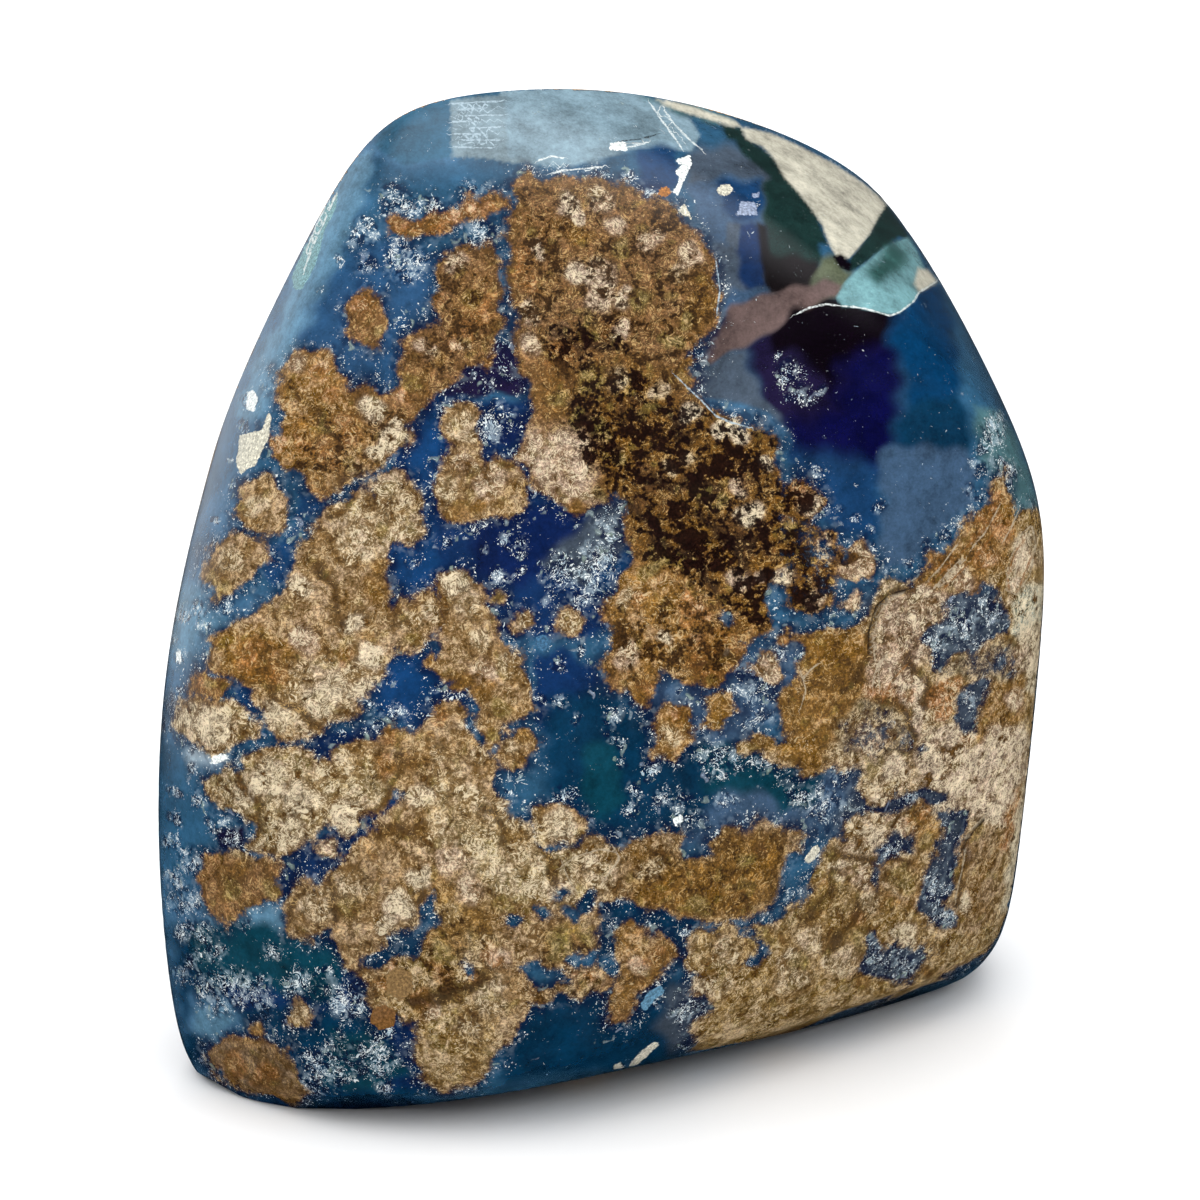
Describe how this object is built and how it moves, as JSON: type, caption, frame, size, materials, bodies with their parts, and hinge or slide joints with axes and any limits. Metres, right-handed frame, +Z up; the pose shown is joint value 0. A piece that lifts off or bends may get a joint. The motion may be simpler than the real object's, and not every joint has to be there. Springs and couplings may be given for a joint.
{
  "type": "amethyst geode, cut base, polished",
  "caption": "Free-standing amethyst geode: polished blue and mossy brown agate outside, flat cut base, and an open hollow lined with amethyst crystals on the far side.",
  "frame": {"origin": "under the middle of the stone's bounding box, at the height of the flat cut base", "axes": "+Z up along the height, the polished pictured side faces -Y, the sawn face with the crystal hollow faces +Y"},
  "size_m": [0.1396, 0.0689, 0.1434],
  "materials": {
    "polished_agate": "polished",
    "amethyst": "glossy crystal"
  },
  "bodies": {
    "root": {"agate_stone": "polished_agate", "amethyst_crystals": "amethyst"}
  },
  "joints": []
}
